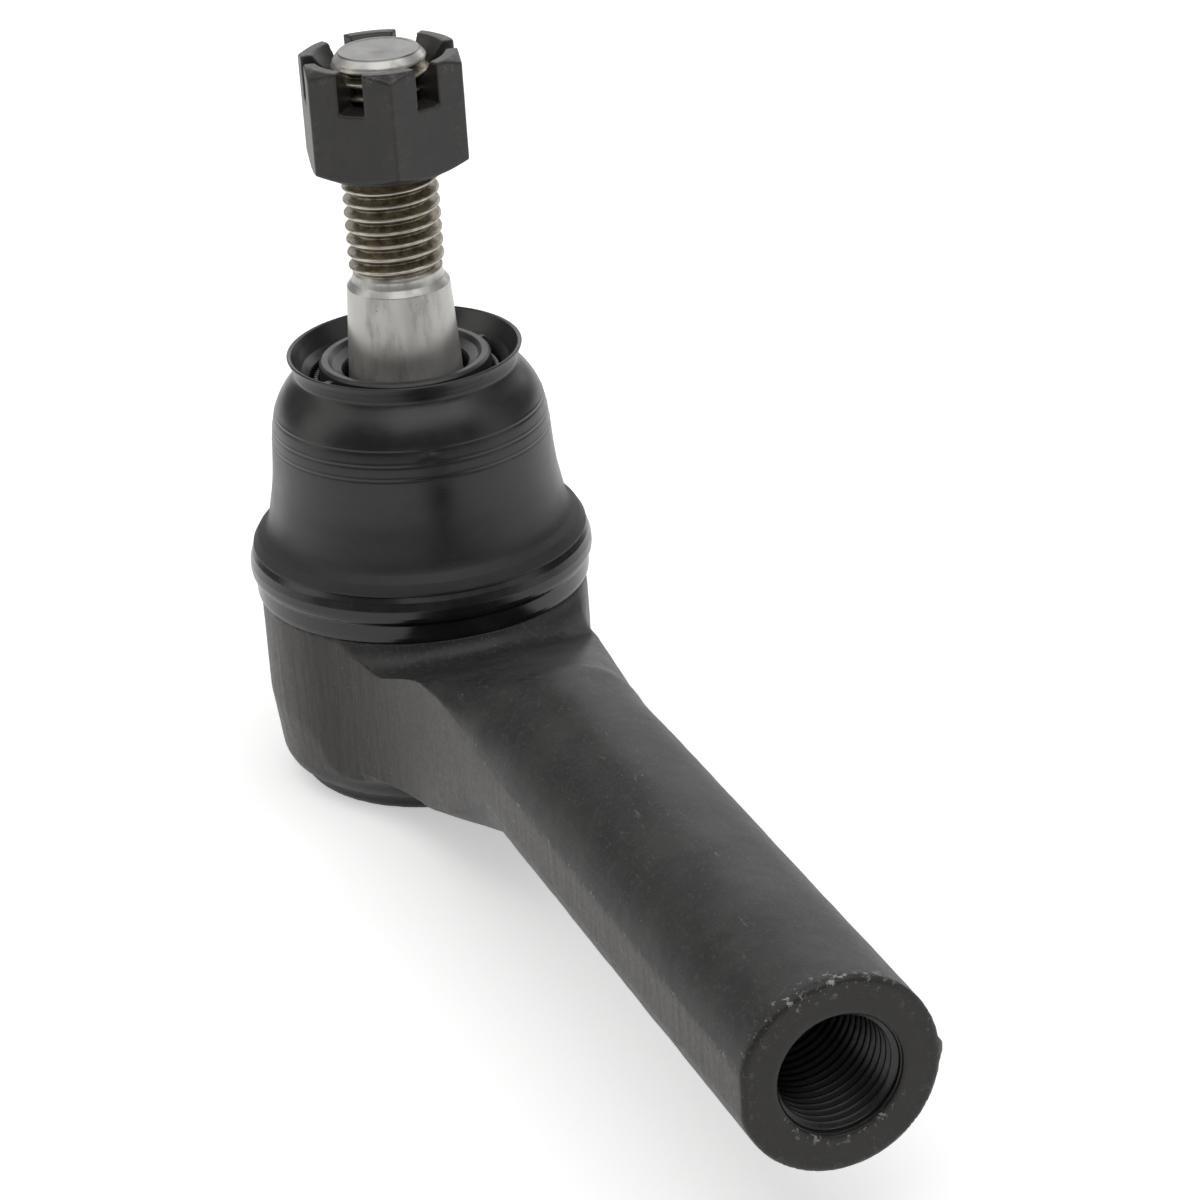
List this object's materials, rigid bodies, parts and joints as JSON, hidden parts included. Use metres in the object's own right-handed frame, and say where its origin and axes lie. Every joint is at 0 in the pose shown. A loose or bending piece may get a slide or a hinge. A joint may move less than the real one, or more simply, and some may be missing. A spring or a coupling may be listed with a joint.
{
  "type": "tie rod end",
  "caption": "Outer tie rod end: forged socket on a long shank with a threaded bore, tapered ball stud with a castle nut, rubber dust boot.",
  "frame": {"origin": "the centre of the ball, about which the stud swings", "axes": "+Z runs along the upright stud to its threaded end, +X runs along the shank to its threaded mouth"},
  "size_m": [0.1804, 0.0508, 0.1105],
  "materials": {
    "forged_steel": "dark phosphated forging, matte satin",
    "stud_steel": "ground taper, rolled thread",
    "seat_plastic": "natural acetal",
    "spring_steel": "hardened spring steel",
    "cover_steel": "dark phosphate",
    "boot_rubber": "semi-gloss moulded rubber",
    "ring_black": "semi-gloss black",
    "bush_plastic": "dark grey moulded",
    "nut_phosphate": "black phosphate"
  },
  "bodies": {
    "housing": {"housing": "forged_steel", "upper_seat": "seat_plastic", "lower_seat": "seat_plastic", "preload_spring": "spring_steel", "cover_plate": "cover_steel", "boot_ring": "ring_black"},
    "boot": {"dust_boot": "boot_rubber"},
    "boot_top": {"boot_bush": "bush_plastic", "garter_spring": "spring_steel"},
    "stud": {"ball_stud": "stud_steel"},
    "nut": {"castle_nut": "nut_phosphate"}
  },
  "joints": [
    {"name": "stud_swing", "type": "hinge", "parent": "housing", "child": "boot", "pos_m": [0, 0, 0], "axis": [0, 1, 0], "range_deg": [-17, 17], "deforming": ["dust_boot"]},
    {"name": "stud_tilt", "type": "hinge", "parent": "boot", "child": "boot_top", "pos_m": [0, 0, 0], "axis": [1, 0, 0], "range_deg": [-17, 17], "deforming": ["dust_boot"]},
    {"name": "stud_spin", "type": "hinge", "parent": "boot_top", "child": "stud", "pos_m": [0, 0, 0], "axis": [0, 0, 1], "continuous": true},
    {"name": "nut_advance", "type": "slide", "parent": "stud", "child": "nut", "axis": [0, 0, 1], "range_m": [-0.012, 0.02]}
  ]
}
